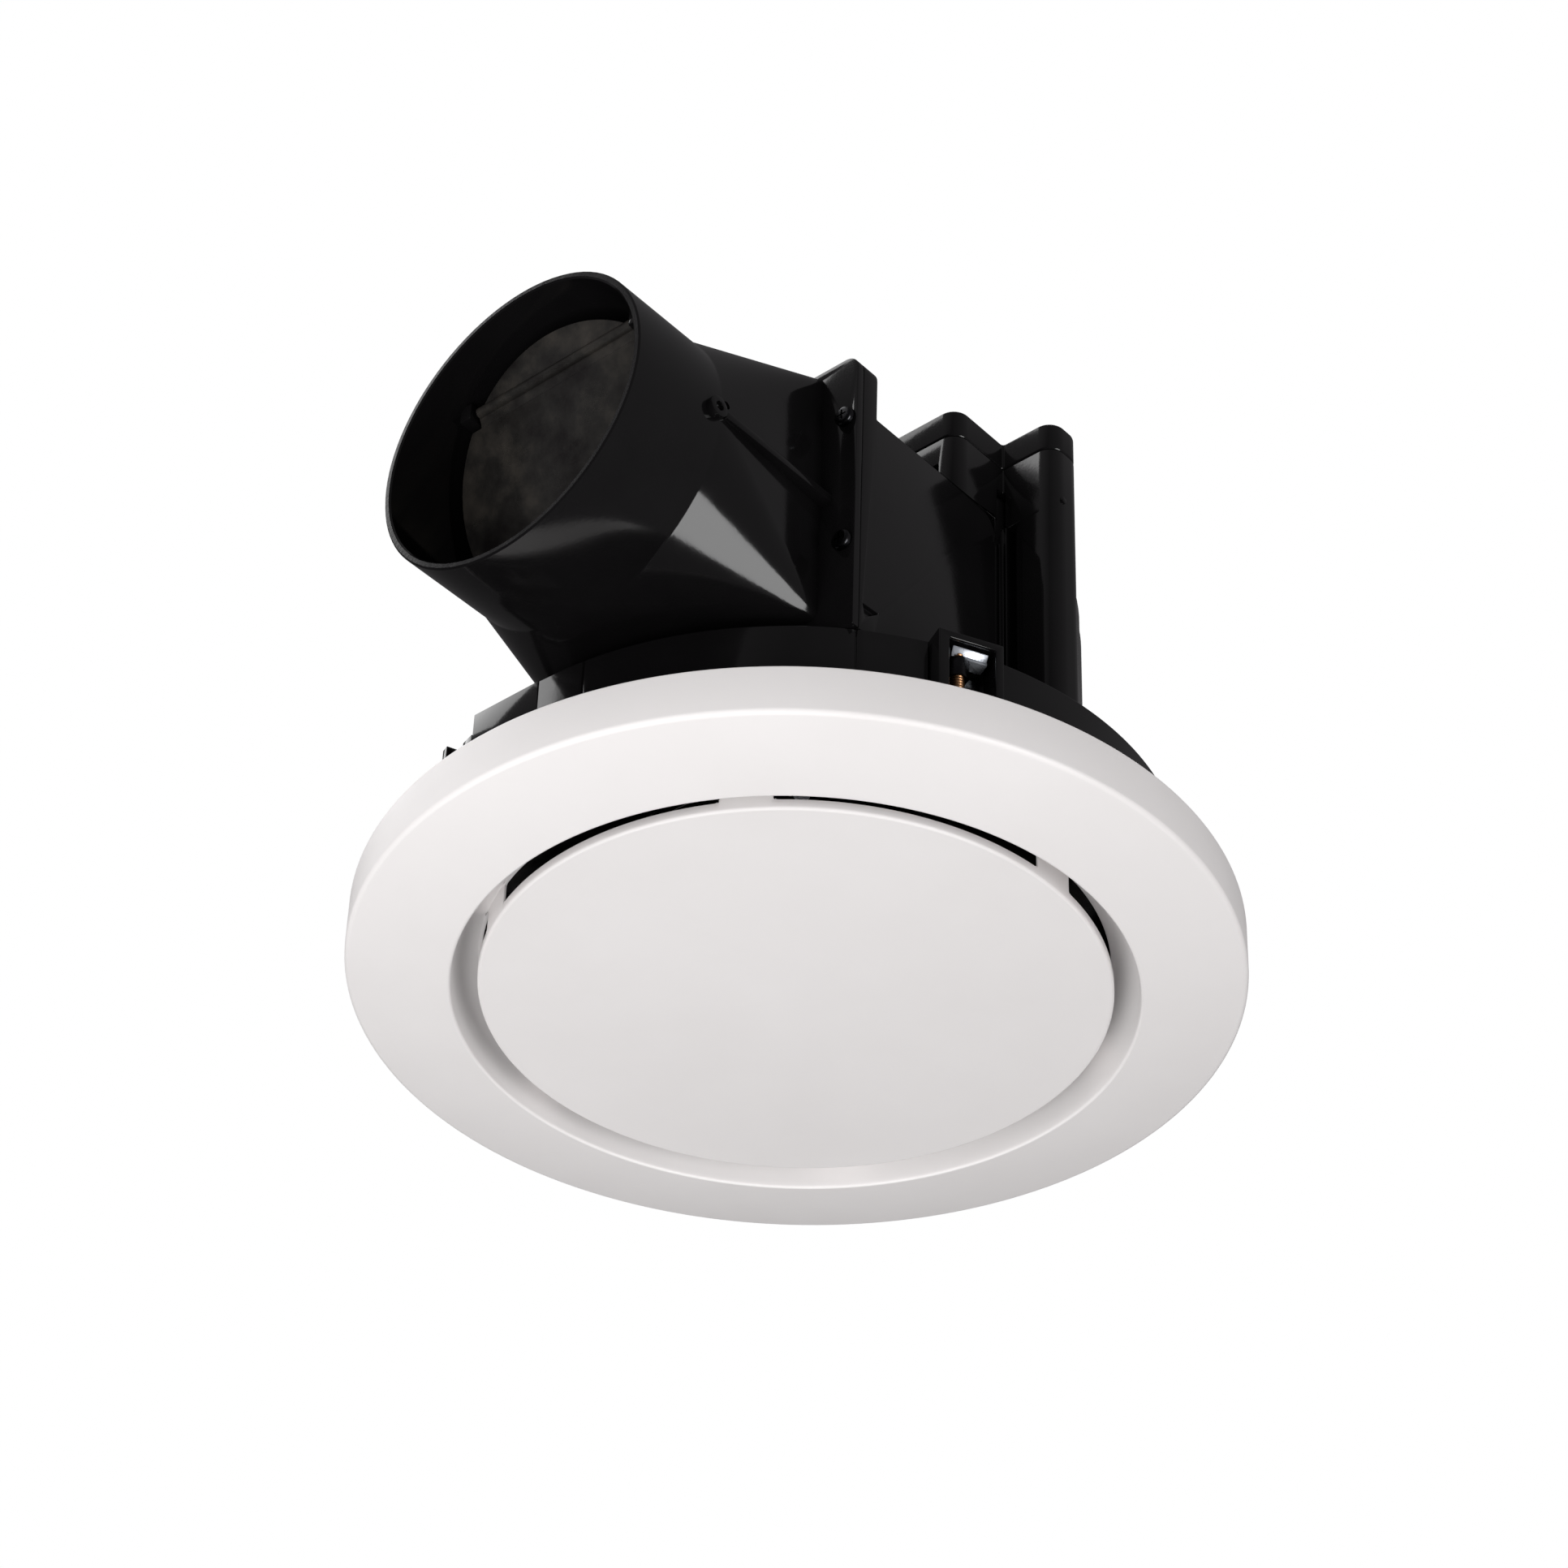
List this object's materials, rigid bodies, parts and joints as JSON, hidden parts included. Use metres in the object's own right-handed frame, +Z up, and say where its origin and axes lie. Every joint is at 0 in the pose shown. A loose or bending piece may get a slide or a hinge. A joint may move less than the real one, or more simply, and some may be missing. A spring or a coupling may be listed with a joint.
{
  "type": "ceiling extractor fan",
  "caption": "Round ceiling extractor fan with a slotted white grille, a black scroll housing, a side duct spigot with a backdraft flap, and swing-out ceiling clamps.",
  "frame": {"origin": "centre of the round ceiling cut-out, on the ceiling lower face, level with the back edge of the grille rim", "axes": "+Z up into the ceiling space along the impeller axis, -X out of the duct spigot"},
  "size_m": [0.2916, 0.264, 0.1669],
  "materials": {
    "white_abs": "satin moulded white plastic",
    "black_abs": "glossy moulded black plastic",
    "flap_film": "thin smoky plastic sheet",
    "zinc_steel": "zinc-plated steel",
    "black_steel": "blackened steel",
    "brass": "brass-plated screw",
    "steel": "plain steel",
    "copper": "enamelled copper wire",
    "cream_plastic": "cream moulded plastic",
    "grey_plastic": "grey moulded plastic"
  },
  "bodies": {
    "root": {"collar": "black_abs", "fan_housing": "black_abs", "top_cover": "black_abs", "inlet_ring": "black_abs", "duct_adaptor": "black_abs", "wiring_box": "black_abs", "wiring_lid": "black_abs", "cable_gland": "black_abs", "clamp_box_1": "black_abs", "clamp_box_2": "black_abs", "clamp_box_3": "black_abs", "adaptor_screw_1": "black_steel", "adaptor_screw_2": "black_steel", "adaptor_screw_3": "black_steel", "adaptor_screw_4": "black_steel", "motor_plate": "zinc_steel", "cover_screw_1": "zinc_steel", "cover_screw_2": "zinc_steel", "cover_screw_3": "zinc_steel", "motor_screw_1": "zinc_steel", "motor_screw_2": "zinc_steel", "motor_screw_3": "zinc_steel", "motor_screw_4": "zinc_steel", "foot_screw_1": "zinc_steel", "foot_screw_2": "zinc_steel", "foot_screw_3": "zinc_steel", "foot_screw_4": "zinc_steel", "clamp_screw_1": "brass", "clamp_screw_2": "brass", "clamp_screw_3": "brass", "flap_pin": "steel", "motor_can": "steel", "motor_end_plate": "steel", "motor_bearing_upper": "steel", "motor_bearing_lower": "steel", "stator_core": "steel", "stator_winding_upper": "copper", "stator_winding_lower": "copper", "terminal_block": "cream_plastic", "run_capacitor": "grey_plastic"},
    "fascia": {"fascia_grille": "white_abs", "fascia_spring_1": "steel", "fascia_spring_2": "steel", "fascia_spring_3": "steel", "fascia_spring_4": "steel"},
    "rotor": {"motor_shaft": "zinc_steel", "motor_rotor": "steel", "impeller": "black_abs", "impeller_nut": "zinc_steel"},
    "flap": {"backdraft_flap": "flap_film"},
    "clamp_nut_body_1": {"clamp_nut_1": "black_steel"},
    "clamp_wing_body_1": {"clamp_wing_1": "zinc_steel"},
    "clamp_nut_body_2": {"clamp_nut_2": "black_steel"},
    "clamp_wing_body_2": {"clamp_wing_2": "zinc_steel"},
    "clamp_nut_body_3": {"clamp_nut_3": "black_steel"},
    "clamp_wing_body_3": {"clamp_wing_3": "zinc_steel"}
  },
  "joints": [
    {"name": "impeller_spin", "type": "hinge", "parent": "root", "child": "rotor", "pos_m": [0, 0, 0.08], "axis": [0, 0, -1], "continuous": true},
    {"name": "flap_swing", "type": "hinge", "parent": "root", "child": "flap", "pos_m": [-0.14329, -0.0265, 0.11178], "axis": [0, 1, 0], "range_deg": [0, 75], "stiffness_Nm_per_rad": 0.002, "springref_deg": -28.65},
    {"name": "fascia_pull", "type": "slide", "parent": "root", "child": "fascia", "axis": [0, 0, -1], "range_m": [0, 0.06]},
    {"name": "clamp_draw_1", "type": "slide", "parent": "root", "child": "clamp_nut_body_1", "axis": [0, 0, -1], "range_m": [0, 0.012]},
    {"name": "clamp_swing_1", "type": "hinge", "parent": "clamp_nut_body_1", "child": "clamp_wing_body_1", "pos_m": [-0.05235, -0.10185, 0.0247], "axis": [0, 0, -1], "range_deg": [0, 90]},
    {"name": "clamp_draw_2", "type": "slide", "parent": "root", "child": "clamp_nut_body_2", "axis": [0, 0, -1], "range_m": [0, 0.012]},
    {"name": "clamp_swing_2", "type": "hinge", "parent": "clamp_nut_body_2", "child": "clamp_wing_body_2", "pos_m": [0.11438, 0.00559, 0.0247], "axis": [0, 0, -1], "range_deg": [0, 90]},
    {"name": "clamp_draw_3", "type": "slide", "parent": "root", "child": "clamp_nut_body_3", "axis": [0, 0, -1], "range_m": [0, 0.012]},
    {"name": "clamp_swing_3", "type": "hinge", "parent": "clamp_nut_body_3", "child": "clamp_wing_body_3", "pos_m": [-0.06203, 0.09626, 0.0247], "axis": [0, 0, -1], "range_deg": [0, 90]}
  ]
}
